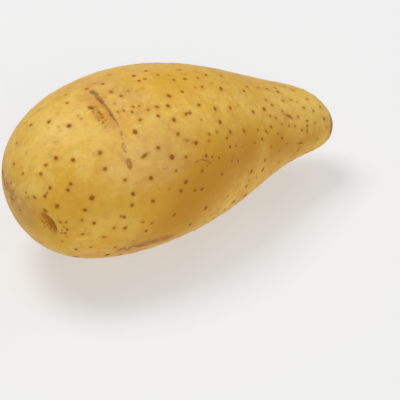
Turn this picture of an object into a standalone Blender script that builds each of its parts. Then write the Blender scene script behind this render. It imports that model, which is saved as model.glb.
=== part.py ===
"""A whole potato tuber, modelled in one piece as it grew.

It lies on the small flat of its underside, long axis along X. The blunt end, where the shoot buds crowd,
points to -X. The narrow end, where the root that fed it broke off, points to +X.
Places on the skin are given by two numbers: how far along from the blunt tip, in metres, and how far
around the long axis, in degrees, from +Y (0) over the top (90) to the front (180) and the underside (270).
"""

import collections
import math

import bmesh
import bpy
import numpy as np

MM = 0.001

# Driving sizes of the body
LENGTH = 125 * MM
THICKNESS_AT = (  # distance along, full thickness there
    (25.0 * MM, 54.6 * MM),
    (50.0 * MM, 60.0 * MM),
    (75.0 * MM, 52.2 * MM),
    (97.0 * MM, 36.0 * MM),
    (112.5 * MM, 25.8 * MM),
)
BLUNT_TIP_RADIUS = 23.5 * MM
NARROW_TIP_RADIUS = 14.7 * MM
WIDER = 1.04  # a tuber is wider than it is tall as it lies
LOWER = 0.965
TIP_DROOP = 4.85 * MM  # how far the narrow end lies below the middle, and the blunt end above it
ARCH = 2.6 * MM  # rise of the middle over both ends
DROOP_EASE = 1.85 * MM  # takes some of the slope out near both ends
SIDE_BOW = 5.6 * MM  # how far both ends bend towards the front
SIDE_LEAN = 0.036  # sideways shift of the section for each unit of height
FLAT_DEPTH = 0.45 * MM  # what is pressed flat under the weight

# Slow swellings of the flesh under the skin
SWELLINGS = 9
LONGEST_SWELLING = 78 * MM
SHORTEST_SWELLING = 26 * MM
SWELLING_RISE = 0.0028  # height for each unit of its length
SWELLING_SEED = 23

# Shoot eyes. They climb a spiral of about 137 degrees a step from the narrow end, and crowd at the blunt one.
# brow: length of the ridge over the eye, bend: radius of its curve, hollow: depth under it,
# ridge: height of the brow, reach: how far the hollow runs towards the blunt end,
# turn: how far the brow is turned off its ring
Eye = collections.namedtuple("Eye", "along around brow bend hollow ridge reach turn")
EYES = (
    Eye(101.5 * MM, 142, 4.0 * MM, 6 * MM, 0.25 * MM, 0.12 * MM, 3.0 * MM, 12),
    Eye(81.0 * MM, 18, 9.0 * MM, 14 * MM, 0.80 * MM, 0.45 * MM, 6.0 * MM, -8),
    Eye(60.0 * MM, 236, 10.0 * MM, 12 * MM, 0.85 * MM, 0.45 * MM, 6.5 * MM, 10),
    Eye(35.6 * MM, 103, 17.0 * MM, 80 * MM, 0.65 * MM, 0.35 * MM, 7.0 * MM, -3),
    Eye(19.0 * MM, 330, 11.0 * MM, 16 * MM, 1.10 * MM, 0.50 * MM, 6.5 * MM, 6),
    Eye(5.7 * MM, 175, 7.6 * MM, 5.7 * MM, 1.20 * MM, 0.40 * MM, 4.2 * MM, 28),
    Eye(10.0 * MM, 2, 8.0 * MM, 12 * MM, 1.10 * MM, 0.45 * MM, 5.0 * MM, -15),
    Eye(9.0 * MM, 285, 6.0 * MM, 9 * MM, 1.00 * MM, 0.35 * MM, 4.0 * MM, 0),
)
BROW_EDGE = 0.6 * MM  # softness of the step from the brow down into the hollow
BROW_WIDTH = 3.0 * MM
BUD_GAP = 0.5  # place of the bud in the hollow, as a share of its reach
BUD_RADIUS = 0.22  # as a share of the hollow's reach
BUD_HEIGHT = 0.55  # as a share of the hollow's depth

# Scar at the narrow tip, where the root broke off
SCAR_HOLLOW = 0.9 * MM
SCAR_HOLLOW_RADIUS = 3.2 * MM
SCAR_RIM = 0.35 * MM
SCAR_RIM_RADIUS = 5.2 * MM
SCAR_RIM_WIDTH = 1.5 * MM

# Mesh: a cube's faces cut into a grid and blown up to the tuber, cut finer round the eyes
GRID = 20
FINER_ROUND_EYES = (1.2, 0.9, 0.5)  # radius of each finer ring, as a share of the brow and reach together
FINER_RING_SHIFT = 0.33  # how far its middle lies from the brow, as a share of the reach
SAME_PLACE = 0.001 * MM

SHARP_FROM_DEGREES = 40
SKIN_COLOUR = (0.64, 0.42, 0.105, 1.0)
SKIN_ROUGHNESS = 0.5

HALF = LENGTH / 2


def girth_curve():
    """The factor that turns a unit ball's section into the tuber's, as one polynomial through the stations.

    At a tip the factor is the square root of the tip's radius times half the length.
    """
    places = [-1.0]
    factors = [math.sqrt(BLUNT_TIP_RADIUS * HALF)]
    for along, thickness in THICKNESS_AT:
        place = along / HALF - 1
        places.append(place)
        factors.append(thickness / 2 / math.sqrt(1 - place**2))
    places.append(1.0)
    factors.append(math.sqrt(NARROW_TIP_RADIUS * HALF))
    return np.polynomial.Polynomial.fit(places, factors, len(places) - 1)


GIRTH = girth_curve()


def body(directions):
    """Points of the plain body for unit directions, an array with x, y and z in its last axis."""
    place = directions[..., 0]
    girth = GIRTH(place)
    height = LOWER * girth * directions[..., 2]
    middle_z = -TIP_DROOP * place - ARCH * place**2 - DROOP_EASE * place**3
    across = WIDER * girth * directions[..., 1] - SIDE_BOW * place**2 + SIDE_LEAN * height
    return np.stack([HALF * place, across, middle_z + height], axis=-1)


def direction(along, around_degrees):
    """Unit direction of a place on the skin."""
    place = along / HALF - 1
    ring = math.sqrt(1 - place**2)
    around = math.radians(around_degrees)
    return np.array([place, ring * math.cos(around), ring * math.sin(around)])


def body_normals(directions, step=1e-4):
    """Outward normals of the plain body, from points a small step to each side along two tangents."""
    helper = np.where(np.abs(directions[..., :1]) < 0.9, [1.0, 0.0, 0.0], [0.0, 0.0, 1.0])
    first = np.cross(helper, directions)
    first /= np.linalg.norm(first, axis=-1, keepdims=True)
    second = np.cross(directions, first)

    def slope(tangent):
        """Change of the body's point for a step both ways along a tangent of the unit ball."""
        ahead, behind = directions + step * tangent, directions - step * tangent
        ahead /= np.linalg.norm(ahead, axis=-1, keepdims=True)
        behind /= np.linalg.norm(behind, axis=-1, keepdims=True)
        return body(ahead) - body(behind)

    normals = np.cross(slope(first), slope(second))
    return normals / np.linalg.norm(normals, axis=-1, keepdims=True)


def swellings(points):
    """Sum of slow waves through the body, each with its own direction, length and start."""
    draw = np.random.RandomState(SWELLING_SEED)
    height = np.zeros(points.shape[:-1])
    for length in np.geomspace(LONGEST_SWELLING, SHORTEST_SWELLING, SWELLINGS):
        heading = draw.normal(size=3)
        heading /= np.linalg.norm(heading)
        start = draw.uniform(0, 2 * math.pi)
        height += SWELLING_RISE * length * np.sin(2 * math.pi * (points @ heading) / length + start)
    return height


def eye_frame(eye):
    """Centre of the brow on the plain body, and the three unit axes there: to the narrow end, around, out."""
    centre_direction = direction(eye.along, eye.around)
    centre = body(centre_direction)
    out = body_normals(centre_direction)
    to_heel = np.array([1.0, 0.0, 0.0]) - out[0] * out
    to_heel /= np.linalg.norm(to_heel)
    return centre, to_heel, np.cross(out, to_heel), out


def eye_relief(points, eye):
    """Height added by one eye: a brow ridge, a step down, a hollow that runs out, and a bud in it."""
    centre, to_heel, ring, out = eye_frame(eye)
    offset = points - centre
    turn = math.radians(eye.turn)
    towards = math.cos(turn) * (offset @ to_heel) + math.sin(turn) * (offset @ ring)
    sideways = math.cos(turn) * (offset @ ring) - math.sin(turn) * (offset @ to_heel)
    from_brow = towards + sideways**2 / (2 * eye.bend)
    fade = np.exp(-((2 * sideways / eye.brow) ** 4))
    heel_side = 0.5 + 0.5 * np.tanh(from_brow / BROW_EDGE)
    ridge = eye.ridge * heel_side * np.exp(-((from_brow / BROW_WIDTH) ** 2))
    hollow = -eye.hollow * (1 - heel_side) * np.exp(-((from_brow / eye.reach) ** 2))
    bud_distance = (from_brow + BUD_GAP * eye.reach) ** 2 + sideways**2
    bud = BUD_HEIGHT * eye.hollow * np.exp(-bud_distance / (BUD_RADIUS * eye.reach) ** 2)
    same_side = offset @ out > -eye.brow
    return np.where(same_side, fade * (ridge + hollow) + bud, 0.0)


def scar_relief(points):
    """Height added by the root scar: a low corky rim round a dimple at the narrow tip."""
    from_tip = np.linalg.norm(points - body(direction(LENGTH, 0)), axis=-1)
    dimple = -SCAR_HOLLOW * np.exp(-((from_tip / SCAR_HOLLOW_RADIUS) ** 2))
    return dimple + SCAR_RIM * np.exp(-(((from_tip - SCAR_RIM_RADIUS) / SCAR_RIM_WIDTH) ** 2))


def skin(directions):
    """Points of the finished skin: the plain body, raised along its normals by all the relief."""
    points = body(directions)
    height = swellings(points) + scar_relief(points)
    for eye in EYES:
        height += eye_relief(points, eye)
    return points + height[..., None] * body_normals(directions)


def directions_of(mesh):
    """Unit directions of a bmesh's vertices."""
    spots = np.array([vertex.co for vertex in mesh.verts])
    return spots / np.linalg.norm(spots, axis=1, keepdims=True)


def blown_cube():
    """A cube's grid spread over the unit ball, with its lines evened out by the tangent."""
    mesh = bmesh.new()
    bmesh.ops.create_cube(mesh, size=2)
    bmesh.ops.subdivide_edges(mesh, edges=mesh.edges[:], cuts=GRID - 1, use_grid_fill=True)
    for vertex in mesh.verts:
        vertex.co = [math.tan(math.pi / 4 * side) for side in vertex.co]
        vertex.co.normalize()
    return mesh


def cut_finer(mesh, share):
    """Halves the edges that lie round an eye. The new vertices go back onto the unit ball."""
    mesh.verts.ensure_lookup_table()
    points = body(directions_of(mesh))
    near = np.zeros(len(points), bool)
    for eye in EYES:
        centre, to_heel, _, _ = eye_frame(eye)
        middle = centre - FINER_RING_SHIFT * eye.reach * to_heel
        near |= np.linalg.norm(points - middle, axis=1) < share * (eye.brow + eye.reach) / 2
    edges = [edge for edge in mesh.edges if near[edge.verts[0].index] and near[edge.verts[1].index]]
    bmesh.ops.subdivide_edges(mesh, edges=edges, cuts=1, use_grid_fill=True)
    for vertex in mesh.verts:
        vertex.co.normalize()
    mesh.verts.index_update()


def press_flat(mesh):
    """Cuts the underside level a little above its lowest point and closes it with one flat face."""
    level = min(vertex.co.z for vertex in mesh.verts) + FLAT_DEPTH
    everything = mesh.verts[:] + mesh.edges[:] + mesh.faces[:]
    bmesh.ops.bisect_plane(
        mesh, geom=everything, dist=SAME_PLACE, plane_co=(0, 0, level), plane_no=(0, 0, 1), clear_inner=True
    )
    rim = [edge for edge in mesh.edges if edge.is_boundary]
    bmesh.ops.contextual_create(mesh, geom=rim)


def stand_on_origin(mesh):
    """Moves the tuber so that the middle of its box, at the level of the flat, is the origin."""
    points = np.array([vertex.co for vertex in mesh.verts])
    low, high = points.min(axis=0), points.max(axis=0)
    shift = -(low + high) / 2
    shift[2] = -low[2]
    bmesh.ops.translate(mesh, verts=mesh.verts[:], vec=shift)


def skin_material():
    """Thin waxy skin of a yellow potato."""
    material = bpy.data.materials.new("potato skin")
    material.use_nodes = True
    shader = material.node_tree.nodes["Principled BSDF"]
    shader.inputs["Base Color"].default_value = SKIN_COLOUR
    shader.inputs["Roughness"].default_value = SKIN_ROUGHNESS
    shader.inputs["Metallic"].default_value = 0.0
    return material


def build_potato(collection):
    """The tuber as one object named potato."""
    mesh = blown_cube()
    for share in FINER_ROUND_EYES:
        cut_finer(mesh, share)
    for vertex, point in zip(mesh.verts, skin(directions_of(mesh))):
        vertex.co = point
    press_flat(mesh)
    stand_on_origin(mesh)
    bmesh.ops.recalc_face_normals(mesh, faces=mesh.faces[:])
    bmesh.ops.triangulate(mesh, faces=mesh.faces[:])
    data = bpy.data.meshes.new("potato")
    mesh.to_mesh(data)
    mesh.free()
    data.shade_smooth()
    data.set_sharp_from_angle(angle=math.radians(SHARP_FROM_DEGREES))
    data.materials.append(skin_material())
    potato = bpy.data.objects.new("potato", data)
    collection.objects.link(potato)
    return potato


for old in list(bpy.data.objects):
    bpy.data.objects.remove(old)
tuber = bpy.data.collections.new("potato")
bpy.context.scene.collection.children.link(tuber)
build_potato(tuber)
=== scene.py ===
"""A whole yellow potato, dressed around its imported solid.

The tuber lies on its side with its blunt end at -X, where the shoot eyes crowd, and its narrow end at +X.
All sizes are in metres unless a name or a comment says otherwise. Colours are written as a screen shows
them, from 0 to 255.
"""

import collections
import math

import bpy
import numpy as np
from mathutils import Matrix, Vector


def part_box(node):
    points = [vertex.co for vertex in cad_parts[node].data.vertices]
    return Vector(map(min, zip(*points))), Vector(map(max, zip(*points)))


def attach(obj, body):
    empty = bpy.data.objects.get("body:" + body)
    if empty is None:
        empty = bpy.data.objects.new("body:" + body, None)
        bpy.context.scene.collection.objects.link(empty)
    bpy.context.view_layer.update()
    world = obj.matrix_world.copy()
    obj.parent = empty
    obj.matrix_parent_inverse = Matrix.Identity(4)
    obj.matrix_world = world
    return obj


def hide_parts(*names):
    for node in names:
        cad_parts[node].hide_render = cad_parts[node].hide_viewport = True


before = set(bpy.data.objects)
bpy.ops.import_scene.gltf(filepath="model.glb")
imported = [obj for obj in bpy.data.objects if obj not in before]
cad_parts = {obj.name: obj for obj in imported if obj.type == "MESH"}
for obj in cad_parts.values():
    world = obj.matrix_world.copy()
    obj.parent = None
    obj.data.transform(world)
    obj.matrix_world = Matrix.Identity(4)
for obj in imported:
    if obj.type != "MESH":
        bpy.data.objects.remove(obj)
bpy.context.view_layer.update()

# The camera looks down on the tuber from its blunt end's side.
# It comes first because some marks on the skin are placed by where the photograph shows them.
MM = 0.001
CAMERA_AZIMUTH = -34.5
CAMERA_ELEVATION = 36.0
CAMERA_DISTANCE = 0.760
PICTURE_PIXELS = 400
PIXELS_PER_METRE = 2994.0
AIM_HEIGHT = 28.0 * MM
AIM_RIGHT = 11.2 * MM
AIM_UP = -18.0 * MM
SENSOR_WIDTH = 36.0
SHOWN_FROM = 0.05
SHOWN_TO = 10.0


def camera_axes(azimuth, elevation):
    """The picture's right, its up and the way back to the camera, each a unit vector."""
    turn, tilt = math.radians(azimuth), math.radians(elevation)
    right = np.array([math.cos(turn), math.sin(turn), 0.0])
    back = np.array([math.sin(turn) * math.cos(tilt), -math.cos(turn) * math.cos(tilt), math.sin(tilt)])
    return right, np.cross(back, right), back


def placed(right, up, back, spot):
    """The matrix that puts something at a spot, with its own X, Y and Z along three unit vectors."""
    return Matrix([*np.column_stack([right, up, back, spot]).tolist(), [0.0, 0.0, 0.0, 1.0]])


RIGHT, UP, BACK = camera_axes(CAMERA_AZIMUTH, CAMERA_ELEVATION)
AIM = np.array([0.0, 0.0, AIM_HEIGHT]) + AIM_RIGHT * RIGHT + AIM_UP * UP

lens = bpy.data.cameras.new("camera")
lens.sensor_width = SENSOR_WIDTH
lens.lens = SENSOR_WIDTH * PIXELS_PER_METRE * CAMERA_DISTANCE / PICTURE_PIXELS
lens.clip_start = SHOWN_FROM
lens.clip_end = SHOWN_TO
camera = bpy.data.objects.new("camera", lens)
bpy.context.scene.collection.objects.link(camera)
camera.matrix_world = placed(RIGHT, UP, BACK, AIM + CAMERA_DISTANCE * BACK)
bpy.context.scene.camera = camera

# The body is firm yellow flesh grown thick at the blunt end and drawn out thin towards the narrow end.
# It is the solid's own shape: a unit ball stretched along X, with a thickness, a droop and a side bow.
LENGTH = 125 * MM
HALF = LENGTH / 2
THICKNESS_AT = (  # distance from the blunt tip, full thickness there
    (25.0 * MM, 54.6 * MM),
    (50.0 * MM, 60.0 * MM),
    (75.0 * MM, 52.2 * MM),
    (97.0 * MM, 36.0 * MM),
    (112.5 * MM, 25.8 * MM),
)
BLUNT_TIP_RADIUS = 23.5 * MM
NARROW_TIP_RADIUS = 14.7 * MM
WIDER = 1.04  # a tuber is wider than it is tall as it lies
LOWER = 0.965
TIP_DROOP = 4.85 * MM  # how far the narrow end lies below the middle, and the blunt end above it
ARCH = 2.6 * MM  # rise of the middle over both ends
DROOP_EASE = 1.85 * MM  # takes some of the slope out near both ends
SIDE_BOW = 5.6 * MM  # how far both ends bend towards the front
SIDE_LEAN = 0.036  # sideways shift of the section for each unit of height
FLAT_DEPTH = 0.45 * MM  # what is pressed flat under the weight
SHEET_CELLS = 126  # squares along each side of the six sheets that close into the ball
SAME_PLACE_DIGITS = 6  # digits behind the point to which the directions on two sheets' shared rims agree
NEARLY_ALONG_X = 0.9


def girth_curve():
    """The factor from a unit ball's section to the tuber's, as one polynomial through the stations."""
    places = [-1.0]
    factors = [math.sqrt(BLUNT_TIP_RADIUS * HALF)]
    for along, thickness in THICKNESS_AT:
        place = along / HALF - 1
        places.append(place)
        factors.append(thickness / 2 / math.sqrt(1 - place**2))
    places.append(1.0)
    factors.append(math.sqrt(NARROW_TIP_RADIUS * HALF))
    return np.polynomial.Polynomial.fit(places, factors, len(places) - 1)


GIRTH = girth_curve()


def body(directions):
    """Point of the plain body for each unit direction.

    Its x is the direction's share of half the length. Its y and z are the direction's sideways parts times
    the girth there, moved by the bow, the lean and the droop of the middle line.
    """
    place = directions[..., 0]
    girth = GIRTH(place)
    height = LOWER * girth * directions[..., 2]
    middle_z = -TIP_DROOP * place - ARCH * place**2 - DROOP_EASE * place**3
    across = WIDER * girth * directions[..., 1] - SIDE_BOW * place**2 + SIDE_LEAN * height
    return np.stack([HALF * place, across, middle_z + height], axis=-1)


def direction(along, around_degrees):
    """Unit direction of a place on the skin, from its distance to the blunt tip and its turn about X."""
    place = along / HALF - 1
    ring = math.sqrt(1 - place**2)
    around = math.radians(around_degrees)
    return np.array([place, ring * math.cos(around), ring * math.sin(around)])


def unit(vectors):
    """The same vectors at length one."""
    return vectors / np.linalg.norm(vectors, axis=-1, keepdims=True)


def tangents(directions):
    """Two unit vectors square to each direction and to each other, by cross products with a helper axis."""
    off_axis = np.abs(directions[..., :1]) < NEARLY_ALONG_X
    helper = np.where(off_axis, [1.0, 0.0, 0.0], [0.0, 0.0, 1.0])
    first = unit(np.cross(helper, directions))
    return first, np.cross(directions, first)


def body_normals(directions, step=1e-4):
    """Outward normals: the cross product of the body's change along two tangents of the ball."""
    changes = [
        body(unit(directions + step * side)) - body(unit(directions - step * side))
        for side in tangents(directions)
    ]
    return unit(np.cross(*changes))


def ball_sheets(cells):
    """Unit directions of six square sheets that close into a ball, and the quads between them.

    A sheet's two parameters run from -45 to 45 degrees. Their tangents are the sideways parts of a vector
    whose main part is 1, which is then brought to length one. Shared rims are merged.
    """
    stations = np.tan(np.linspace(-math.pi / 4, math.pi / 4, cells + 1))
    first, second = np.meshgrid(stations, stations, indexing="ij")
    numbers = np.arange((cells + 1) ** 2).reshape(cells + 1, cells + 1)
    corners = [numbers[:-1, :-1], numbers[1:, :-1], numbers[1:, 1:], numbers[:-1, 1:]]
    sheet_quads = np.stack(corners, axis=-1).reshape(-1, 4)
    sheets, quads = [], []
    for main in range(3):
        for side in (1.0, -1.0):
            sheet = np.empty(first.shape + (3,))
            sheet[..., main] = side
            sheet[..., (main + 1) % 3] = first
            sheet[..., (main + 2) % 3] = side * second
            quads.append(sheet_quads + len(sheets) * numbers.size)
            sheets.append(sheet.reshape(-1, 3))
    directions = unit(np.concatenate(sheets))
    rounded = np.round(directions, SAME_PLACE_DIGITS)
    _, kept, merged = np.unique(rounded, axis=0, return_index=True, return_inverse=True)
    return directions[kept], merged.reshape(-1)[np.concatenate(quads)]


def waves(points, longest, shortest, count, rise, draw):
    """Sum of sine waves through space, each with its own heading, length and start.

    Each one's height is the rise times its length.
    """
    height = np.zeros(points.shape[:-1])
    for length in np.geomspace(longest, shortest, count):
        heading = unit(draw.normal(size=3))
        start = draw.uniform(0, 2 * math.pi)
        height += rise * length * np.sin(2 * math.pi * (points @ heading) / length + start)
    return height


# Each shoot eye is a hollow in the flesh under a curved brow, the scar of a small scale leaf, with a cluster
# of buds in it. The eyes climb a spiral of about 137 degrees a step from the narrow end, and crowd at the
# blunt one.
# along: from the blunt tip, around: degrees about X, brow: its length, bend: radius of its curve,
# depth: of the hollow, rise: of the brow, reach: of the hollow towards the blunt end, turn: of the brow
Eye = collections.namedtuple("Eye", "along around brow bend depth rise reach turn")
EYES = (
    Eye(101.5 * MM, 142, 4.0 * MM, 6 * MM, 0.25 * MM, 0.12 * MM, 3.0 * MM, 12),
    Eye(81.0 * MM, 18, 9.0 * MM, 14 * MM, 0.80 * MM, 0.45 * MM, 6.0 * MM, -8),
    Eye(60.0 * MM, 236, 10.0 * MM, 12 * MM, 0.85 * MM, 0.45 * MM, 6.5 * MM, 10),
    Eye(35.6 * MM, 103, 17.0 * MM, 80 * MM, 0.65 * MM, 0.35 * MM, 7.0 * MM, -3),
    Eye(19.0 * MM, 330, 11.0 * MM, 16 * MM, 1.10 * MM, 0.50 * MM, 6.5 * MM, 6),
    Eye(5.7 * MM, 175, 7.6 * MM, 5.7 * MM, 1.20 * MM, 0.40 * MM, 4.2 * MM, 28),
    Eye(10.0 * MM, 2, 8.0 * MM, 12 * MM, 1.10 * MM, 0.45 * MM, 5.0 * MM, -15),
    Eye(9.0 * MM, 285, 6.0 * MM, 9 * MM, 1.00 * MM, 0.35 * MM, 4.0 * MM, 0),
)
BROW_EDGE = 0.26 * MM  # softness of the step from the brow down into the hollow
BROW_WIDTH = 3.0 * MM
LIP_HEIGHT = 0.06 * MM  # for each millimetre that the hollow is deep
LIP_WIDTH = 0.7 * MM
CREST_SHIFT = 0.7  # how far the lip's crest, with its painted highlight, lies from the brow, in widths of the lip
CREASE_WIDTH = 1.3 * BROW_EDGE
CREASE_SHIFT = 0.6  # how far the crease's painted shade lies below the brow, in its own widths
DEEPEST = 1.2 * MM  # hollows as deep as this show the whole of the pit's colour and of the wall's painted shade
PIT_SHARE = 0.8  # how far the pit's colour, partly painted shade, runs, as a share of the reach
# how far the wall's painted shade runs, as a share of the reach
WALL_SHARE = 0.42
BUD_GAP = 0.5  # how far the cluster lies from the brow, as a share of the reach
BUD_HEIGHT = 0.42  # as a share of the depth
# Each bud is moved towards the brow by a share of the reach and aside by a share of half the brow, and its
# radius is a share of the reach.
BUDS = (
    (0.00, -0.04, 0.13), (0.03, -0.19, 0.10), (0.00, -0.34, 0.11), (-0.22, -0.42, 0.08),
    (0.07, -0.51, 0.08), (-0.13, -0.59, 0.09), (-0.06, -0.78, 0.06), (-0.20, 0.10, 0.07),
)
DRAWN_TO_EYES = 0.42
DRAWN_WITHIN = 0.17  # as an angle on the ball


def eye_relief(points, eye):
    """Height and marks of one eye.

    The distance from the brow, bent along its length, is positive on the narrow end's side. Height is a ridge
    with a thin lip on that side, a step down, a hollow that runs out, and small domes for the buds. The marks
    are bell curves of the same distance. The crease and wall marks are painted shade in the hollow, the pit
    mark its orange-tan, partly painted shade, and the crest mark a painted highlight on the lip.
    """
    centre_direction = direction(eye.along, eye.around)
    centre = body(centre_direction)
    out = body_normals(centre_direction)
    to_narrow = unit(np.array([1.0, 0.0, 0.0]) - out[0] * out)
    ring = np.cross(out, to_narrow)
    offset = points - centre
    turn = math.radians(eye.turn)
    towards = math.cos(turn) * (offset @ to_narrow) + math.sin(turn) * (offset @ ring)
    sideways = math.cos(turn) * (offset @ ring) - math.sin(turn) * (offset @ to_narrow)
    from_brow = towards + sideways**2 / (2 * eye.bend)
    same_side = offset @ out > -eye.brow
    fade = np.where(same_side, np.exp(-((2 * sideways / eye.brow) ** 4)), 0.0)
    narrow_side = 0.5 + 0.5 * np.tanh(from_brow / BROW_EDGE)
    ridge = eye.rise * narrow_side * np.exp(-((from_brow / BROW_WIDTH) ** 2))
    lip = LIP_HEIGHT * eye.depth / MM * narrow_side * np.exp(-((from_brow / LIP_WIDTH) ** 2))
    hollow = -eye.depth * (1 - narrow_side) * np.exp(-((from_brow / eye.reach) ** 2))
    buds = np.zeros(len(points))
    for nearer, aside, radius in BUDS:
        apart = (from_brow + (BUD_GAP - nearer) * eye.reach) ** 2 + (sideways - aside * eye.brow / 2) ** 2
        buds = np.maximum(buds, np.where(same_side, np.exp(-apart / (radius * eye.reach) ** 2), 0.0))
    height = fade * (ridge + lip + hollow) + BUD_HEIGHT * eye.depth * buds
    strength = min(1.0, eye.depth / DEEPEST)
    crease = fade * np.exp(-((from_brow / CREASE_WIDTH + CREASE_SHIFT) ** 2))
    pit = strength * fade * (1 - narrow_side) * np.exp(-((from_brow / (PIT_SHARE * eye.reach)) ** 2))
    wall = strength**2 * fade * (1 - narrow_side) * np.exp(-((from_brow / (WALL_SHARE * eye.reach)) ** 2))
    crest = fade * narrow_side * np.exp(-((from_brow / LIP_WIDTH - CREST_SHIFT) ** 2))
    return height, np.stack([crease, crest, pit, wall, buds])


# The root that fed the tuber broke off at the narrow tip. It left a dimple with a low rim, and the break
# healed over with brown cork, which is torn at its edge.
SCAR_HOLLOW = 0.9 * MM
SCAR_HOLLOW_RADIUS = 3.2 * MM
SCAR_RIM = 0.35 * MM
SCAR_RIM_RADIUS = 5.2 * MM
SCAR_RIM_WIDTH = 1.5 * MM
SCAR_LINE = ((125.0, 0), (122.6, 180))  # its cork's middle line, in millimetres along and degrees around


def scar_relief(from_tip):
    """Height round the narrow tip: a dimple and a low rim, each a bell curve of the distance from it."""
    dimple = -SCAR_HOLLOW * np.exp(-((from_tip / SCAR_HOLLOW_RADIUS) ** 2))
    return dimple + SCAR_RIM * np.exp(-(((from_tip - SCAR_RIM_RADIUS) / SCAR_RIM_WIDTH) ** 2))


# The skin is one thin layer, grown fast to flesh that swelled unevenly. So it follows the body, its slow
# swellings, the eyes and the scar, and has a fine unevenness of its own from 9 mm down to 1.5 mm.
SWELLINGS = 9
LONGEST_SWELLING = 78 * MM
SHORTEST_SWELLING = 26 * MM
SWELLING_RISE = 0.0028  # height for each unit of its length
SWELLING_SEED = 23
RIPPLES = 26
LONGEST_RIPPLE = 9 * MM
SHORTEST_RIPPLE = 1.5 * MM
RIPPLE_RISE = 0.0016
RIPPLE_SEED = 5


def grown(directions):
    """Skin points for unit directions, their outward normals, and how strongly the eyes mark them.

    A point is the body's, raised along its normal by the sum of the swellings, the ripples, the scar and the
    eyes. The marks are crease, crest, pit, wall and buds: the crease and the wall carry painted shade, the
    pit the hollow's orange-tan, partly painted shade, and the crest a painted highlight.
    """
    points = body(directions)
    swelling_draw, ripple_draw = np.random.RandomState(SWELLING_SEED), np.random.RandomState(RIPPLE_SEED)
    height = waves(points, LONGEST_SWELLING, SHORTEST_SWELLING, SWELLINGS, SWELLING_RISE, swelling_draw)
    height += waves(points, LONGEST_RIPPLE, SHORTEST_RIPPLE, RIPPLES, RIPPLE_RISE, ripple_draw)
    height += scar_relief(np.linalg.norm(points - body(direction(LENGTH, 0)), axis=1))
    eye_marks = 0.0
    for eye in EYES:
        eye_height, marks = eye_relief(points, eye)
        height += eye_height
        eye_marks = np.maximum(eye_marks, marks)
    normals = body_normals(directions)
    return points + height[:, None] * normals + shift, normals, eye_marks


directions, quads = ball_sheets(SHEET_CELLS)
for eye in EYES:
    # The sheets are drawn together round each eye, so that its crease and buds have finer squares.
    to_eye = direction(eye.along, eye.around) - directions
    pull = DRAWN_TO_EYES * np.exp(-(to_eye**2).sum(axis=1) / (2 * DRAWN_WITHIN**2))
    directions = unit(directions + pull[:, None] * to_eye)

# It stands where the solid does: over the middle of its box, with the underside pressed flat at Z = 0.
shift = np.zeros(3)
shaped, normals, _ = grown(directions)
solid_low, solid_high = (np.array(corner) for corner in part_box("potato"))
shift = (solid_low + solid_high) / 2 - (shaped.min(axis=0) + shaped.max(axis=0)) / 2
shift[2] = -shaped[:, 2].min() - FLAT_DEPTH
shaped += shift


def on_screen(points):
    """Where points fall in the photograph, in its pixels from the upper left corner."""
    seen = (points - AIM) @ np.stack([RIGHT, UP, BACK], axis=1)
    nearer = CAMERA_DISTANCE / (CAMERA_DISTANCE - seen[..., 2])
    right = PICTURE_PIXELS / 2 + PIXELS_PER_METRE * seen[..., 0] * nearer
    down = PICTURE_PIXELS / 2 - PIXELS_PER_METRE * seen[..., 1] * nearer
    return np.stack([right, down], axis=-1)


# The skin under a pixel is searched for from every fourth point of the skin that faces the camera.
SEARCH_EVERY = 4
SEARCH_STEPS = 8
SMALL_TURN = 1e-3  # on the ball, to measure how its picture moves
LARGEST_TURN = 0.04  # in one step
DAMPING = 15.0  # pixels for each unit of turn, which holds the search back near the rim
JUST_FACING = 0.05  # how far a normal has to lean towards the camera
front_side = np.flatnonzero(normals @ BACK > JUST_FACING)[::SEARCH_EVERY]
front_screen = on_screen(shaped[front_side])


def under(pixels):
    """Unit directions of the skin that the photograph shows at some pixels.

    Each starts at the nearest point of the sheets that faces the camera. Damped Newton steps along two
    tangents of the ball then bring its picture onto the pixel.
    """
    pixels = np.array(pixels, float)
    apart = ((front_screen - pixels[:, None]) ** 2).sum(axis=-1)
    found = directions[front_side[apart.argmin(axis=1)]]
    for _ in range(SEARCH_STEPS):
        sides = tangents(found)
        here = on_screen(grown(found)[0])
        moved = [on_screen(grown(unit(found + SMALL_TURN * side))[0]) for side in sides]
        slope = np.stack([picture - here for picture in moved], axis=-1) / SMALL_TURN
        upright = np.swapaxes(slope, 1, 2)
        damped = upright @ slope + DAMPING**2 * np.eye(2)
        turn = np.linalg.solve(damped, upright @ (pixels - here)[..., None])
        turn = np.clip(turn, -LARGEST_TURN, LARGEST_TURN)
        found = unit(found + turn[:, 0] * sides[0] + turn[:, 1] * sides[1])
    return found


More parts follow.
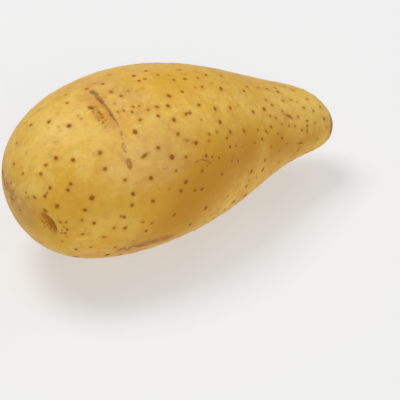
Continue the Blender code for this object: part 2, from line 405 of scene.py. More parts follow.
# Lenticels are the skin's breathing pores, grown into round or long brown dots of cork. The ones that show
# best in the photograph are placed where it shows them. The rest are strewn, more thickly towards the narrow
# end, and in crowds and gaps.
LENTICELS_SEEN = {  # by their width in pixels
    5.4: ((92, 198), (172, 157), (135, 132), (69, 126), (91, 108)),
    4.4: (
        (56, 158), (73, 160), (100, 153), (105, 169), (158, 148), (133, 194), (132, 205), (153, 201),
        (196, 143), (181, 191), (186, 182), (202, 189), (57, 206), (168, 106), (174, 120), (111, 92),
        (134, 76), (169, 96), (230, 132), (221, 89), (264, 109), (125, 228), (174, 215), (49, 122),
        (151, 178),
    ),
    3.7: (
        (46, 165), (41, 174), (50, 188), (45, 196), (71, 184), (68, 190), (125, 180), (85, 210), (124, 217),
        (114, 228), (94, 223), (152, 223), (146, 231), (76, 249), (31, 125), (67, 103), (87, 89), (103, 84),
        (121, 96), (146, 71), (145, 79), (139, 81), (174, 80), (180, 70), (185, 79), (182, 92), (157, 107),
        (158, 116), (148, 110), (190, 113), (186, 114), (140, 120), (178, 134), (206, 75), (221, 76),
        (202, 87), (199, 105), (215, 109), (220, 122), (230, 108), (244, 131), (202, 171), (186, 157),
        (206, 156), (244, 91), (278, 92), (253, 112), (195, 190), (222, 174), (298, 150), (282, 138),
        (262, 139), (115, 247),
    ),
    1.8: (
        (42.4, 221), (44.6, 223), (46.8, 221.4), (47.6, 224.6), (45.2, 226.6), (62, 230), (61.4, 233),
        (64, 227), (66.6, 236.4), (96, 107), (93.6, 113), (103, 121.4), (78, 116), (81, 119),
        (26, 192.5), (28.7, 197.5),
    ),
    2.9: (
        (14, 164), (23, 174), (60, 222), (66, 222), (82, 220), (83, 234), (104, 237), (91, 247), (66, 95),
        (109, 75), (128, 91), (133, 107), (139, 106), (132, 112), (124, 111), (118, 112), (158, 75),
        (198, 78), (247, 87), (258, 88), (267, 89), (275, 88), (266, 100), (272, 105), (283, 101),
        (291, 100), (282, 111), (270, 116), (276, 118), (298, 117), (295, 126), (289, 126), (307, 121),
        (307, 126), (302, 130), (307, 131), (315, 123), (313, 111), (324, 119), (320, 107), (307, 99),
        (292, 90), (282, 124), (271, 127), (258, 130), (278, 134), (287, 144), (271, 147), (279, 151),
        (255, 143), (243, 147), (236, 146), (230, 147), (227, 138), (217, 132), (209, 134), (209, 141),
        (212, 157), (219, 158), (232, 161), (238, 161), (17, 143), (176, 171), (11, 183), (13, 191),
        (12, 199), (20, 210), (143, 222), (47, 193), (121, 216), (67, 229), (65, 233),
    ),
}
LENTICELS_LONG = {  # by their width in pixels, from the first pixel of each to its last
    4.0: (((141.5, 158), (147, 153.5)), ((135.5, 246.5), (141, 245.2))),
    3.2: (
        ((286, 114.6), (292, 118.4)), ((264.5, 130), (268, 133.6)), ((33, 196.2), (36.4, 198.6)),
        ((43.2, 209.2), (47.4, 211.6)),
    ),
    2.6: (
        ((302, 107.8), (305, 107.8)), ((298, 143.3), (302.5, 143.3)), ((162, 238.6), (167, 236.2)),
        ((61, 241), (63.5, 242)), ((2.6, 170), (3.6, 176)), ((4.4, 181), (5.0, 185)),
        ((39.5, 242), (42, 243)),
    ),
}
SHOWN_DOWN_TO = (  # pixels of the line below which the photograph doesn't show the skin
    (182, 250), (186, 230), (192, 212), (200, 200), (212, 183), (225, 171), (240, 163), (260, 158),
    (300, 157),
)
PORES = 510
PORE_SEED = 41
PORES_APART = 1.5 * MM
APART_RANGE = (0.6, 2.2)  # the least distance between two strewn ones varies by these factors
BLUNT_SHARE = 0.22  # chance at the blunt tip, as a share of the chance at the narrow one
THICKENING = 1.4
WELL_SEEN = 0.25  # how far a normal has to lean towards the camera for the skin to be well seen
STREWN_WHERE_SEEN = 0.25  # share of the usual chance there
CROWD_WAVES = 14
LONGEST_CROWD = 40 * MM
SHORTEST_CROWD = 5 * MM
CROWD_SEED = 8
CROWD_MIDDLE = 0.45
CROWD_SWING = 0.80
BAREST = 0.04
BAREST_BELOW_LINE = 0.55
SMALLEST_RADIUS = 0.33 * MM
RADIUS_RANGE = 0.60 * MM
MOSTLY_SMALL = 1.9
LARGER_AT_BLUNT = 1.20
SMALLER_TO_NARROW = 0.40
LARGEST_WHERE_SEEN = 0.32 * MM
DRAWN_TO_PORES = 0.35
DRAWN_TO_PORES_WITHIN = 1.1 * MM
REACH_OF_PULL = 3 * DRAWN_TO_PORES_WITHIN

draw = np.random.RandomState(PORE_SEED)
seen_pixels = [pixel for places in LENTICELS_SEEN.values() for pixel in places]
pores = list(under(seen_pixels))
pore_points = list(grown(np.array(pores))[0])
radii = [wide / PIXELS_PER_METRE / 2 for wide, places in LENTICELS_SEEN.items() for _ in places]

# Skin points are drawn at random, by the area each stands for, and kept where no other pore is near.
share_along = (directions[:, 0] + 1) / 2
corners = shaped[quads]
diagonals = corners[:, 2] - corners[:, 0], corners[:, 3] - corners[:, 1]
quad_areas = np.linalg.norm(np.cross(*diagonals), axis=1) / 2
point_areas = np.bincount(quads.ravel(), weights=np.repeat(quad_areas, 4))
skin_screen = on_screen(shaped)
above_line = skin_screen[:, 1] < np.interp(skin_screen[:, 0], *zip(*SHOWN_DOWN_TO))
on_seen_side = (normals @ BACK > WELL_SEEN) & above_line
crowd_draw = np.random.RandomState(CROWD_SEED)
crowding = waves(shaped, LONGEST_CROWD, SHORTEST_CROWD, CROWD_WAVES, 1.0, crowd_draw)
crowding = np.clip(CROWD_MIDDLE + CROWD_SWING * crowding / np.abs(crowding).max(), BAREST, 1.0)
crowding = np.where(above_line, crowding, np.maximum(crowding, BAREST_BELOW_LINE))
keep_chance = BLUNT_SHARE + (1 - BLUNT_SHARE) * share_along**THICKENING
keep_chance *= crowding * point_areas / point_areas.max()
keep_chance *= np.where(on_seen_side, STREWN_WHERE_SEEN, 1.0)
for number in draw.permutation(len(directions)):
    if len(radii) >= PORES:
        break
    if draw.uniform() > keep_chance[number]:
        continue
    apart = np.linalg.norm(np.array(pore_points) - shaped[number], axis=1)
    if apart.min() < PORES_APART * draw.uniform(*APART_RANGE):
        continue
    pores.append(directions[number])
    pore_points.append(shaped[number])
    size = SMALLEST_RADIUS + RADIUS_RANGE * draw.uniform() ** MOSTLY_SMALL
    size *= LARGER_AT_BLUNT - SMALLER_TO_NARROW * share_along[number]
    radii.append(min(size, LARGEST_WHERE_SEEN) if on_seen_side[number] else size)

# The sheets are drawn together round each pore too, and their nearest point is put on its middle.
for pore, point in zip(pores, pore_points):
    apart = ((shaped - point) ** 2).sum(axis=1)
    near = np.flatnonzero(apart < REACH_OF_PULL**2)
    pull = DRAWN_TO_PORES * np.exp(-apart[near] / DRAWN_TO_PORES_WITHIN**2)
    directions[near] = unit(directions[near] + pull[:, None] * (pore - directions[near]))
for pore in pores:
    directions[np.argmax(directions @ pore)] = pore
shaped, normals, (crease, crest, pit, wall, buds) = grown(directions)


def from_line(stops):
    """Distance of each skin point from a line through some points, and its share of the last run's length.

    On each straight run the nearest point is the run's start plus a share of the run from 0 to 1.
    """
    nearest = np.full(len(shaped), np.inf)
    for start, end in zip(stops[:-1], stops[1:]):
        run = end - start
        share = np.clip((shaped - start) @ run / (run @ run), 0.0, 1.0)
        nearest = np.minimum(nearest, np.linalg.norm(shaped - start - share[:, None] * run, axis=1))
    return nearest, share


# Each skin point gets its distance in millimetres from the nearest lenticel's edge, negative inside, and that
# lenticel's tone, from 0 for dark to 1 for pale. The small ones are paler.
FAR_FROM_ALL = 3.0
MOST_STRETCH = 0.6
TONE_WHEN_TINY = 1.35
TONE_FADES_OVER = 0.75 * MM
LEAST_TONE_RANGE = 0.15
TAPER_OF_LONG = 0.6
TONE_OF_LONG = 0.4
edge = np.full(len(shaped), FAR_FROM_ALL)
tone = np.zeros(len(shaped))
for point, radius in zip(pore_points, radii):
    offset = shaped - point
    stretch = unit(draw.normal(size=3)) * draw.uniform(0.0, 1.0)
    lengthened = (offset**2).sum(axis=1) - (offset @ stretch) ** 2 * MOST_STRETCH
    from_edge = (np.sqrt(np.maximum(lengthened, 0.0)) - radius) / MM
    nearer = from_edge < edge
    edge[nearer] = from_edge[nearer]
    tone[nearer] = draw.uniform() * np.clip(TONE_WHEN_TINY - radius / TONE_FADES_OVER, LEAST_TONE_RANGE, 1.0)
for pixels_wide, paths in LENTICELS_LONG.items():
    for path in paths:
        nearest, share = from_line(grown(under(path))[0])
        half_width = pixels_wide / PIXELS_PER_METRE / 2 * (1 - TAPER_OF_LONG * (2 * share - 1) ** 2)
        from_edge = (nearest - half_width) / MM
        tone = np.where(from_edge < edge, TONE_OF_LONG, tone)
        edge = np.minimum(edge, from_edge)

# A lenticel stands up as a low ring just inside its edge, and the middle of a large one is sunk.
RING_RISE = 0.09 * MM
RING_INSIDE = 0.1  # millimetres, as the next three are
RING_WIDTH = 0.35
SUNK_INSIDE = 0.45
SUNK_SOFTNESS = 0.1
SUNK_DEPTH = 0.05 * MM
rise = RING_RISE * np.exp(-(((edge + RING_INSIDE) / RING_WIDTH) ** 2))
rise -= SUNK_DEPTH / (1 + np.exp((edge + SUNK_INSIDE) / SUNK_SOFTNESS))
shaped += rise[:, None] * normals
shaped[:, 2] = np.maximum(shaped[:, 2], 0.0)

# Bruises, scuffs and coloured patches, where the skin was knocked or rubbed, has thickened or lies thin over
# the flesh, and strokes and patches of painted light: painted shade in two eyes' hollows, along the lower
# side and along the bottom edge, and painted highlights at the upper left and on the narrow end. The long
# ones are a path of pixels, half its width in millimetres and a strength. The round ones are a pixel, a
# radius in millimetres and a strength.
BRUISES_AND_CREASE_SHADE = (
    (((91.8, 91.6), (94.4, 93.0), (96.6, 94.8)), 0.95, 1.0),
    (((96.6, 94.8), (98.4, 98.2)), 0.55, 0.7),
    (((98.2, 98.6), (100.6, 100.2), (102.6, 102.2)), 0.85, 1.0),
    # This thin stroke follows the long eye's crease and darkens it: painted shade.
    (((102.8, 102.4), (107.6, 108.4), (110.6, 114.0), (112.8, 118.0)), 0.30, 0.55),
    (((110.2, 114.2), (111.6, 116.0)), 0.5, 0.9),
    (((331.5, 127), (331.2, 131), (330.2, 135)), 0.5, 0.7),
)
SCUFFS_AND_SHADE = (
    (((112.6, 118.0), (117.2, 122.6), (119.0, 128), (121.0, 134), (122.6, 141)), 0.42, 0.6),
    (((121.6, 130), (122.6, 134.4)), 0.45, 0.6),
    (((122.6, 143.5), (122.4, 148), (124.2, 151.6), (126.0, 151.8)), 0.40, 0.7),
    (((123.4, 144.5), (124.6, 150)), 1.1, 0.5),
    (((127.6, 160.0), (129.6, 160.8), (130.8, 163.6), (130.8, 166.6)), 0.46, 1.0),
    (((127.4, 160.6), (128.2, 164.4), (129.6, 167.6)), 0.42, 0.9),
    (((128.4, 161), (129.8, 166.6)), 1.2, 0.75),
    (((330.0, 116), (331.1, 124), (330.8, 131), (328.8, 137)), 1.3, 0.6),
    (((326.5, 114), (328.0, 121), (327.6, 128)), 0.35, 0.4),
    (((88, 100), (92, 97.5)), 0.5, 0.3),
    (((120, 131), (122, 133)), 0.5, 0.4),
    (((93, 108), (99, 115)), 1.7, 0.42),
    (((149, 243), (155, 240.6)), 0.8, 0.9),
    (((155, 240.6), (161, 238.6), (167.5, 235.6)), 0.55, 0.9),
    (((137, 246), (142, 245)), 0.9, 1.0),
    (((143, 243.4), (150, 241.4)), 0.4, 0.6),
    (((126, 247.2), (131, 247)), 0.6, 0.8),
    # Painted shade: this broad stroke darkens the whole bottom edge, where shadow falls, over the scuffs
    # there.
    (((122, 250), (140, 245), (168, 237.4)), 2.6, 0.7),
    (((123, 252), (129.5, 250.2)), 0.6, 0.6),
    (((118, 241), (122, 241)), 0.35, 0.5),
    (((132, 240.8), (135, 240.6)), 0.4, 0.7),
    (((184.2, 139.6), (188, 140.6), (193, 141.6)), 0.72, 0.6),
    (((194.6, 162.4), (199, 160.2), (204, 159.7), (208, 161.2), (210.6, 163.4)), 0.42, 0.62),
    (((153.5, 182), (157.5, 186), (161, 191)), 0.34, 0.45),
    (((163, 168.8), (166, 168.8)), 0.25, 0.5),
    (((67.5, 230), (65, 234)), 0.45, 0.5),
    (((2.8, 172), (4.2, 180), (6, 188)), 0.9, 0.8),
    (((6, 184), (14, 199), (25, 214)), 2.4, 0.5),
)
# Painted shade: strokes that darken the hollow side of two eyes' creases, the lower left eye's and the long
# eye's.
EYE_SHADE_STROKES = (
    (((44.5, 214.5), (50, 221), (55.5, 229)), 1.2, 1.0),
    (((106.5, 107), (110, 112.5)), 0.8, 0.5),
)
# On the sides that the photograph hides, millimetres from the blunt tip and degrees about X take the place of
# a pixel.
HIDDEN_SCUFFS = (
    (((22, 20), (30, 26), (36, 24)), 0.5, 0.7),
    (((55, 330), (60, 322), (62, 312)), 0.35, 0.7),
    (((70, 40), (78, 44)), 0.6, 0.6),
    (((90, 300), (97, 306)), 0.5, 0.7),
    (((45, 262), (58, 256), (66, 258)), 0.45, 0.8),
    (((30, 270), (33, 280)), 0.8, 0.6),
    (((105, 240), (110, 250)), 0.5, 0.7),
    (((14, 60), (20, 66)), 0.5, 0.6),
    (((84, 350), (86, 358), (84, 6)), 0.3, 0.8),
    (((50, 5), (52, 12)), 0.8, 0.4),
    (((40, 225), (52, 232)), 1.8, 0.35),
)
# Tan patches: partly the skin's own thicker tan, and partly painted shade along the bottom edge and in a dip
# beside the long eye.
TAN_AND_SHADE_PLACES = (
    ((20, 205), 5.0, 0.8), ((9, 188), 4.5, 0.8), ((30, 218), 4.5, 0.8), ((170, 138), 8.0, 0.35),
    ((195, 155), 8.0, 0.5), ((160, 168), 8.0, 0.45), ((225, 145), 7.0, 0.4), ((84, 97), 4.0, 0.3),
    ((145, 243), 7.0, 0.7), ((118, 248), 6.0, 0.6), ((84, 254), 6.0, 0.4), ((165, 230), 7.0, 0.4),
    ((230, 72), 7.0, 0.35), ((275, 83), 6.0, 0.35), ((97, 85), 3.5, 0.6), ((108, 80), 4.0, 0.5),
    ((130, 66), 7.0, 0.3), ((121, 91), 4.5, 0.6), ((142, 101), 4.5, 0.5), ((240, 138), 5.0, 0.4),
    ((322, 120), 5.0, 0.3), ((60, 88), 6.0, 0.3), ((36, 212), 3.0, 0.6),
)
# Paler gold patches: partly the skin's own paler colour, and partly painted highlights on the upper left
# shoulder and on top of the narrow end.
PALE_AND_HIGHLIGHT_PLACES = (
    ((143, 151), 5.5, 0.9), ((125, 176), 4.0, 0.6), ((160, 128), 5.0, 0.7), ((57, 123), 6.5, 0.9),
    ((100, 142), 6.0, 0.8), ((83, 161), 4.0, 0.5), ((62, 129), 4.0, 0.6), ((173, 168), 4.0, 0.6),
    ((30, 192), 4.5, 0.6), ((100, 219), 4.5, 0.7), ((68, 138), 4.0, 0.5), ((293, 100), 5.5, 0.8),
    ((312, 104), 5.0, 0.6), ((135, 225), 3.0, 0.4), ((82, 110), 4.0, 0.8), ((24, 150), 5.0, 0.7),
    ((242, 98), 5.0, 0.6), ((320, 109), 5.0, 0.7), ((250, 114), 4.0, 0.5), ((212, 128), 3.0, 0.4),
    ((40, 128), 5.0, 0.6), ((278, 88), 4.0, 0.5), ((280, 105), 5.5, 0.7), ((267, 106), 4.0, 0.5),
    ((46, 134), 5.0, 0.6), ((75, 118), 4.5, 0.6), ((96, 131), 4.0, 0.6), ((125, 222), 4.5, 0.8),
    ((122, 104), 4.0, 0.6), ((45, 156), 4.0, 0.6), ((112, 221), 3.5, 0.5), ((66, 112), 4.0, 0.4),
    ((182, 130), 4.0, 0.4), ((84, 130), 4.0, 0.5),
)
# Deeper gold patches: partly the skin's own deeper colour, as along the top, and partly painted shade on the
# lower right side and along the bottom edge.
DEEP_AND_SHADE_PLACES = (
    ((170, 80), 7.0, 0.8), ((196, 73), 5.0, 0.6), ((160, 198), 7.0, 0.9), ((72, 206), 5.0, 0.7),
    ((180, 225), 9.0, 0.8), ((84, 203), 6.0, 0.6), ((125, 206), 6.0, 0.7), ((66, 178), 4.0, 0.5),
    ((17, 164), 3.0, 0.4), ((60, 240), 6.0, 0.8), ((142, 214), 5.0, 0.5), ((182, 205), 8.0, 0.9),
    ((250, 138), 6.0, 0.9), ((215, 150), 7.0, 0.9), ((272, 142), 6.0, 0.9), ((100, 210), 6.0, 0.6),
    ((60, 213), 6.0, 0.6), ((44, 208), 5.0, 0.5), ((18, 222), 5.0, 0.7), ((110, 240), 6.0, 0.8),
    ((130, 80), 3.0, 0.6), ((2, 166), 5.0, 0.9), ((200, 175), 7.0, 0.8), ((38, 222), 4.0, 0.6),
)
BLUSH_PLACES = (
    ((74, 124), 3.0, 0.5), ((94, 101), 2.0, 0.7), ((100, 110), 2.5, 0.2), ((27, 213), 2.0, 0.5),
    ((119, 137), 4.5, 0.7), ((124, 147), 2.0, 0.6), ((88, 103), 3.5, 0.6), ((137, 142), 4.0, 0.5),
    ((166, 151), 4.5, 0.4), ((147, 186), 5.0, 0.6), ((282, 117), 6.0, 0.5), ((112, 127), 3.0, 0.4),
    ((303, 110), 4.0, 0.4), ((84, 82), 5.0, 0.8), ((94, 90), 3.5, 0.7), ((66, 88), 4.0, 0.5),
    ((121, 104), 4.0, 0.7), ((123, 118), 3.5, 0.6), ((108, 102), 2.5, 0.5), ((126, 164), 5.0, 0.6),
    ((112, 170), 4.0, 0.5), ((152, 170), 5.0, 0.5), ((165, 180), 4.5, 0.6), ((182, 168), 5.0, 0.5),
    ((128, 152), 4.0, 0.4), ((105, 83), 4.5, 0.4), ((134, 72), 4.5, 0.5), ((146, 66), 4.5, 0.4),
)
# Painted shade: amber patches that darken the lower right side, the narrow end's lower rim and the blunt
# end's rim, where shadow falls.
AMBER_SHADE_PLACES = (
    ((165, 224), 6.0, 0.6), ((184, 202), 8.0, 0.65), ((200, 176), 7.0, 0.6), ((226, 157), 6.0, 0.45),
    ((252, 146), 6.0, 0.4), ((276, 144), 5.0, 0.35), ((140, 240), 5.0, 0.4),
    ((206, 204), 8.0, 0.55), ((223, 185), 7.0, 0.5), ((245, 168), 6.0, 0.45), ((187, 226), 7.0, 0.5),
    ((272, 156), 5.0, 0.35), ((300, 144), 4.5, 0.6), ((314, 139), 3.5, 0.5), ((288, 146), 4.5, 0.5),
    ((2, 166), 3.5, 0.5), ((22, 231), 4.0, 0.4), ((160, 236), 5.0, 0.4), ((250, 152), 6.0, 0.5),
    ((228, 166), 6.0, 0.5), ((213, 182), 6.0, 0.5), ((198, 200), 6.0, 0.5), ((180, 218), 6.0, 0.4),
    ((32, 238), 4.0, 0.45), ((15, 218), 3.5, 0.4), ((3, 178), 3.0, 0.4), ((280, 148), 4.0, 0.45),
    ((238, 160), 4.5, 0.4), ((205, 190), 4.5, 0.4), ((186, 212), 4.5, 0.35),
)
HIDDEN_TAN = (
    ((48, 268), 9.0, 0.6), ((90, 320), 7.0, 0.5), ((30, 350), 7.0, 0.5), ((110, 20), 6.0, 0.5),
    ((15, 300), 6.0, 0.6), ((70, 60), 6.0, 0.4), ((62, 290), 8.0, 0.5), ((100, 250), 6.0, 0.5),
)
HIDDEN_PALE = (
    ((40, 20), 7.0, 0.8), ((80, 30), 6.0, 0.7), ((28, 250), 6.0, 0.5), ((65, 345), 7.0, 0.7),
    ((104, 330), 5.0, 0.7), ((55, 215), 5.0, 0.5),
)
HIDDEN_DEEP = (
    ((55, 35), 7.0, 0.8), ((35, 325), 8.0, 0.8), ((80, 265), 7.0, 0.8), ((95, 10), 5.0, 0.7),
    ((20, 240), 6.0, 0.7), ((68, 310), 6.0, 0.7),
)


def at(places):
    """Unit directions of some places on the skin, each its millimetres from the blunt tip and its turn."""
    return np.array([direction(along * MM, around) for along, around in places])


def spread(places, found=under):
    """How strongly round patches mark each skin point.

    Each patch is a bell curve of the distance from its place. Together they leave bare what each leaves bare.
    """
    bare = np.ones(len(shaped))
    middles = grown(found([place for place, _, _ in places]))[0]
    for middle, (_, radius, most) in zip(middles, places):
        apart = np.linalg.norm(shaped - middle, axis=1) / (radius * MM)
        bare *= 1 - most * np.exp(-(apart**2))
    return 1 - bare


def stroked(paths, found=under):
    """How strongly long marks mark each skin point: the highest bell curve of the distance from a path."""
    strength = np.zeros(len(shaped))
    for path, radius, most in paths:
        nearest, _ = from_line(grown(found(path))[0])
        strength = np.maximum(strength, most * np.exp(-((nearest / (radius * MM)) ** 2)))
    return strength


# Of these masks, the stain and amber ones carry painted shade, parts of the bruise, scuff, tan and deep ones
# carry painted shade, and part of the pale one carries painted highlights.
bruise_and_crease_shade = stroked(BRUISES_AND_CREASE_SHADE)
scuff_and_shade = np.maximum(stroked(SCUFFS_AND_SHADE), stroked(HIDDEN_SCUFFS, at))
eye_shade = stroked(EYE_SHADE_STROKES)
blush = spread(BLUSH_PLACES)
amber_shade = spread(AMBER_SHADE_PLACES)
# Partly painted shade along the bottom edge and beside the long eye.
tan = np.maximum(spread(TAN_AND_SHADE_PLACES), spread(HIDDEN_TAN, at))
pale_and_highlight = np.maximum(spread(PALE_AND_HIGHLIGHT_PLACES), spread(HIDDEN_PALE, at))
deep_and_shade = np.maximum(spread(DEEP_AND_SHADE_PLACES), spread(HIDDEN_DEEP, at))
from_scar, _ = from_line(grown(at(SCAR_LINE))[0])
from_tip = np.linalg.norm(shaped - grown(direction(LENGTH, 0)[None])[0], axis=1)

mesh = bpy.data.meshes.new("tuber_skin")
mesh.from_pydata(shaped.tolist(), [], quads.tolist())
mesh.shade_smooth()
marks = {
    "edge": edge, "tone": tone, "crease": crease, "crest": crest, "pit": pit, "wall": wall, "buds": buds,
    "bruise_and_crease_shade": bruise_and_crease_shade, "scuff_and_shade": scuff_and_shade, "tan": tan, "pale_and_highlight": pale_and_highlight, "deep_and_shade": deep_and_shade, "blush": blush,
    "from_tip": from_tip / MM, "from_scar": from_scar / MM, "eye_shade": eye_shade, "amber_shade": amber_shade,
}
for name, values in marks.items():
    mesh.attributes.new(name, "FLOAT", "POINT").data.foreach_set("value", values.astype(np.float32))
skin = bpy.data.objects.new("tuber_skin", mesh)
bpy.context.scene.collection.objects.link(skin)
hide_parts("potato")
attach(skin, "root")


# The skin is a few layers of thin cork grown over yellow flesh, dull with a little wax in it. It is golden
# where it lies thin, tan where it has thickened, and brown where it was torn or rubbed and healed over.
# Some of the colours laid over it are painted light: painted shade in the eyes' hollows and creases, along
# the lower side and along the bottom edge, and painted highlights at the upper left and on the narrow end.
class Thread:
    """A socket of a material's nodes.

    Sums, differences and products of threads and numbers add Math nodes.
    """

    def __init__(self, tree, socket):
        self.tree, self.socket = tree, socket

    def node(self, kind, settings, values, result=0):
        """Adds a node, applies its settings, fills or links its sockets, and gives one of its outputs."""
        added = self.tree.nodes.new(kind)
        for name, setting in settings.items():
            setattr(added, name, setting)
        for name, value in values.items():
            socket = next(socket for socket in added.inputs if name in (socket.identifier, socket.name))
            if isinstance(value, Thread):
                self.tree.links.new(value.socket, socket)
            else:
                socket.default_value = value
        return Thread(self.tree, added.outputs[result])

    def maths(self, operation, first, second):
        """A Math node on two threads or numbers."""
        return self.node("ShaderNodeMath", {"operation": operation}, {"Value": first, "Value_001": second})

    def __add__(self, other):
        return self.maths("ADD", self, other)

    __radd__ = __add__

    def __sub__(self, other):
        return self.maths("SUBTRACT", self, other)

    def __rsub__(self, other):
        return self.maths("SUBTRACT", other, self)

    def __mul__(self, other):
        return self.maths("MULTIPLY", self, other)

    __rmul__ = __mul__

    def between(self, low, high):
        """0 below low, 1 above high, and a smooth step between them."""
        settings = {"interpolation_type": "SMOOTHSTEP"}
        return self.node("ShaderNodeMapRange", settings, {"Value": self, "From Min": low, "From Max": high})


def shown(red, green, blue):
    """Linear colour with alpha from the values that a screen shows, 0 to 255."""
    return tuple((part / 255) ** 2.2 for part in (red, green, blue)) + (1.0,)


GOLD = shown(224, 175, 68)
DEEP_GOLD = shown(210, 156, 34)
PALE_GOLD = shown(236, 202, 108)
TAN = shown(198, 148, 80)
BLUSH = shown(226, 172, 112)
ORANGE_TAN = shown(198, 136, 40)
# The colour of the painted shade along the lower side.
AMBER_SHADE = shown(188, 128, 28)
# The colour of the painted shade on the walls of the eyes' hollows.
WALL_SHADE = shown(152, 86, 4)
# The colour of the painted shade in two eyes' hollows.
EYE_SHADE_AMBER = shown(172, 106, 0)
LENTICEL_BROWN = shown(144, 84, 20)
LENTICEL_PALE = shown(176, 116, 44)
BRUISE_BROWN = shown(134, 90, 50)
SCUFF_BROWN = shown(158, 98, 46)
# The colour of the painted shade in the crease under each brow.
CREASE_SHADE = shown(134, 78, 18)
CORK_BROWN = shown(168, 112, 58)
SCAR_BROWN = shown(112, 70, 38)

# The parts of a noise's range over which a colour comes in.
BROAD_PART = (0.42, 0.64)
MOTTLE_PART = (0.48, 0.72)
PATCH_PART = (0.50, 0.74)
GRAIN_PART = (0.50, 0.72)
SPECKLE_PART = (0.45, 0.60)
# The same for marks, which run from 0 to 1.
PIT_PART = (0.0, 1.2)
BUD_PART = (0.35, 0.75)
MARK_SOLID = 0.85
# Millimetres from the scar's middle line, from the narrow tip, and from a lenticel's edge.
CORK_PART = (1.0, 4.4)
SCAR_PART = (0.8, 3.6)
DOT_PART = (-0.40, 0.28)
DOT_MIDDLE_PART = (-0.72, -0.46)
HALO_PART = (-0.1, 1.2)
BUMP_STRENGTH = 0.4
BUMP_DEPTH = 0.12 * MM
SHINE = 0.18
FLESH_GLOW = 0.2
FLESH_GLOW_COLOURS = (1.0, 0.5, 0.15)
FLESH_GLOW_DEPTH = 1.5 * MM
MIXED_COLOUR = 2  # the output of a Mix node that carries its colour

material = bpy.data.materials.new("tuber_skin")
material.use_nodes = True
shader = material.node_tree.nodes["Principled BSDF"]
place = Thread(material.node_tree, None).node("ShaderNodeTexCoord", {}, {}, "Object")


def mark(name):
    """One of the skin's marks, read from the mesh."""
    return place.node("ShaderNodeAttribute", {"attribute_name": name}, {}, "Fac")


def cloud(scale, detail=2.0, rough=0.5, warp=0.0):
    """Noise through the tuber, around 0.5, with so many features in a metre."""
    values = {"Vector": place, "Scale": scale, "Detail": detail, "Roughness": rough, "Distortion": warp}
    return place.node("ShaderNodeTexNoise", {}, values)


def tinted(colour, other, share):
    """The first colour, mixed with the other by a share from 0 to 1."""
    values = {"Factor_Float": share, "A_Color": colour, "B_Color": other}
    return place.node("ShaderNodeMix", {"data_type": "RGBA"}, values, MIXED_COLOUR)


broad = cloud(26.0)
mottle = cloud(75.0, detail=3.0, rough=0.6, warp=0.6)
patches = cloud(190.0, detail=3.0, rough=0.6, warp=0.4)
grain = cloud(420.0, detail=4.0, rough=0.7)
speckle = cloud(1000.0, detail=3.0, rough=0.6)
fine = cloud(2600.0, rough=0.6)


def broken_up(name, by_grain, by_speckle, faintest):
    """A mark that the grain and the speckle break up.

    It is 0 where it is fainter than the faintest, and 1 where it is solid.
    """
    uneven = 1 + (grain - 0.5) * by_grain + (speckle - 0.5) * by_speckle
    return (mark(name) * uneven).between(faintest, MARK_SOLID)


# The cork's edge is torn, so it wanders by some millimetres. A lenticel's edge is ragged.
torn = (patches - 0.5) * 10.0 + (grain - 0.5) * 8.0 + (speckle - 0.5) * 5.0
cork = 1 - (mark("from_scar") + torn).between(*CORK_PART)
scar = 1 - (mark("from_tip") + torn * 0.5).between(*SCAR_PART)
bud = (mark("buds") + (speckle - 0.5) * 0.8).between(*BUD_PART)
ragged = mark("edge") + (fine - 0.5) * 0.5 + (speckle - 0.5) * 0.6
dot = 1 - ragged.between(*DOT_PART)
dot_middle = 1 - mark("edge").between(*DOT_MIDDLE_PART)
halo = 1 - mark("edge").between(*HALO_PART)
dot_colour = tinted(LENTICEL_BROWN, LENTICEL_PALE, mark("tone") * 0.8)
dot_colour = tinted(dot_colour, TAN, dot_middle * mark("tone") * 0.6)

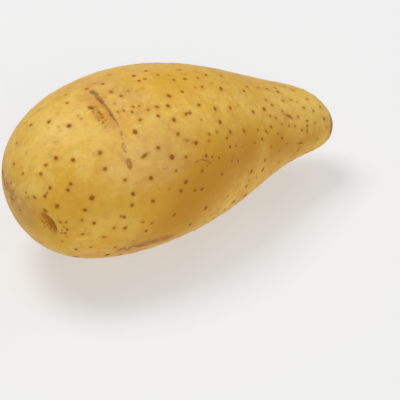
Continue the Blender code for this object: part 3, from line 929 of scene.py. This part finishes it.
# Each row is a colour that is laid over the ones before it, and its share of the mix.
laid_over = (
    (DEEP_GOLD, broad.between(*BROAD_PART) * 0.50),
    (PALE_GOLD, mottle.between(*MOTTLE_PART) * 0.50),
    # Paler gold, partly the skin's own and partly painted highlights at the upper left and on the narrow end.
    (PALE_GOLD, mark("pale_and_highlight") * 0.70),
    (TAN, (1 - mottle).between(*PATCH_PART) * 0.22),
    # Tan, partly the skin's own and partly painted shade along the bottom edge and beside the long eye.
    (TAN, mark("tan") * (0.55 + mottle * 0.90) * 0.90),
    (BLUSH, mark("blush") * (grain * 1.40 - 0.10) * 0.80),
    (TAN, patches.between(*PATCH_PART) * 0.36),
    (PALE_GOLD, (1 - patches).between(*PATCH_PART) * 0.45),
    (TAN, grain.between(*GRAIN_PART) * 0.60),
    (PALE_GOLD, (1 - grain).between(*GRAIN_PART) * 0.50),
    # Deeper gold, partly the skin's own and partly painted shade on the lower right side and the bottom edge.
    (DEEP_GOLD, mark("deep_and_shade") * 0.75),
    # Painted shade along the lower side and the lower rims, in amber.
    (AMBER_SHADE, mark("amber_shade") * (0.70 + mottle * 0.60)),
    # The hollow's orange-tan, partly painted shade, stronger in deeper hollows.
    (ORANGE_TAN, (mark("pit") * (patches + grain)).between(*PIT_PART) * 0.60),
    # Painted shade on the walls of the deeper eyes' hollows.
    (WALL_SHADE, mark("wall") * 0.60),
    # Painted highlight along the crest of each brow's lip.
    (PALE_GOLD, mark("crest") * 0.20),
    # Painted shade in the hollows of two eyes, in amber.
    (EYE_SHADE_AMBER, mark("eye_shade") * (0.35 + grain * 0.70)),
    # Scuffs, and a broad stroke of painted shade along the bottom edge.
    (SCUFF_BROWN, broken_up("scuff_and_shade", by_grain=3.0, by_speckle=2.2, faintest=0.12) * 0.85),
    # Painted shade in the crease under each brow.
    (CREASE_SHADE, mark("crease") * 0.35),
    # Bruises, and painted shade along the long eye's crease.
    (BRUISE_BROWN, broken_up("bruise_and_crease_shade", by_grain=1.4, by_speckle=0.9, faintest=0.10) * 0.85),
    (CORK_BROWN, cork * 0.80),
    (SCUFF_BROWN, cork * speckle.between(*SPECKLE_PART) * 0.60),
    (SCAR_BROWN, scar * 0.85),
    (LENTICEL_BROWN, bud * 0.70),
    (ORANGE_TAN, halo * 0.30),
    (dot_colour, dot * (1 - mark("tone") * 0.20)),
)
colour = GOLD
for over, share in laid_over:
    colour = tinted(colour, over, share)

rough = 0.50 + (mottle - 0.5) * 0.15 + dot * 0.22 + mark("tan") * 0.08
height = fine * 0.4 + speckle * (0.7 + cork * 2.0) + grain * 1.2 + dot * 0.5
bump_values = {"Strength": BUMP_STRENGTH, "Distance": BUMP_DEPTH, "Height": height}
bump = place.node("ShaderNodeBump", {}, bump_values)
for name, thread in (("Base Color", colour), ("Roughness", rough), ("Normal", bump)):
    material.node_tree.links.new(thread.socket, shader.inputs[name])
shader.inputs["Specular IOR Level"].default_value = SHINE
shader.inputs["Subsurface Weight"].default_value = FLESH_GLOW
shader.inputs["Subsurface Radius"].default_value = FLESH_GLOW_COLOURS
shader.inputs["Subsurface Scale"].default_value = FLESH_GLOW_DEPTH
mesh.materials.append(material)

# The floor is a matt pale sheet that glows a little, so that it looks nearly white all over. Four soft square
# lamps light the tuber, the brightest from the upper left of the camera.
FLOOR_REACH = 3.0
FLOOR_PAINT = shown(178, 178, 178)
FLOOR_TONE = shown(238, 238, 238)
FLOOR_GLOW = 0.505
WHITE = (1.0, 1.0, 1.0, 1.0)
WORLD_GLOW = 0.30
LAMP_DISTANCE = 1.0
LAMP_SIZE = 0.5
FRONT_SIZE = 0.6
KEY_POWER = 5.8
FRONT_POWER = 2.2
RIGHT_POWER = 0.9
RIM_POWER = 1.2

floor_mesh = bpy.data.meshes.new("floor")
floor_corners = FLOOR_REACH * np.array([(-1, -1, 0), (1, -1, 0), (1, 1, 0), (-1, 1, 0)])
floor_mesh.from_pydata(floor_corners.tolist(), [], [(0, 1, 2, 3)])
floor = bpy.data.objects.new("floor", floor_mesh)
bpy.context.scene.collection.objects.link(floor)
floor_material = bpy.data.materials.new("floor")
floor_material.use_nodes = True
paint = floor_material.node_tree.nodes["Principled BSDF"]
paint.inputs["Base Color"].default_value = FLOOR_PAINT
paint.inputs["Roughness"].default_value = 1.0
paint.inputs["Specular IOR Level"].default_value = 0.0
paint.inputs["Emission Color"].default_value = FLOOR_TONE
paint.inputs["Emission Strength"].default_value = FLOOR_GLOW
floor_mesh.materials.append(floor_material)

world = bpy.data.worlds.new("studio")
bpy.context.scene.world = world
world.use_nodes = True
world.node_tree.nodes["Background"].inputs["Color"].default_value = WHITE
world.node_tree.nodes["Background"].inputs["Strength"].default_value = WORLD_GLOW


def soft_light(name, towards, size, power):
    """A square lamp that looks at the tuber's middle, from some way off in the given direction."""
    lamp = bpy.data.lights.new(name, "AREA")
    lamp.size = size
    lamp.energy = power
    way = unit(towards)
    side = unit(np.cross([0.0, 0.0, 1.0], way))
    spot = LAMP_DISTANCE * way + [0.0, 0.0, AIM_HEIGHT]
    holder = bpy.data.objects.new(name, lamp)
    holder.matrix_world = placed(side, np.cross(way, side), way, spot)
    bpy.context.scene.collection.objects.link(holder)


# Each lamp's direction is so much of the way to the camera, of its right and of its up.
soft_light("key", 0.40 * BACK - 0.36 * RIGHT + 0.86 * UP, LAMP_SIZE, KEY_POWER)
soft_light("front", BACK + 0.25 * RIGHT - 0.20 * UP, FRONT_SIZE, FRONT_POWER)
soft_light("right", 0.77 * BACK + 0.64 * RIGHT, LAMP_SIZE, RIGHT_POWER)
soft_light("rim", 0.15 * BACK + 0.50 * RIGHT + 0.85 * UP, LAMP_SIZE, RIM_POWER)

bpy.context.scene.view_settings.view_transform = "Standard"
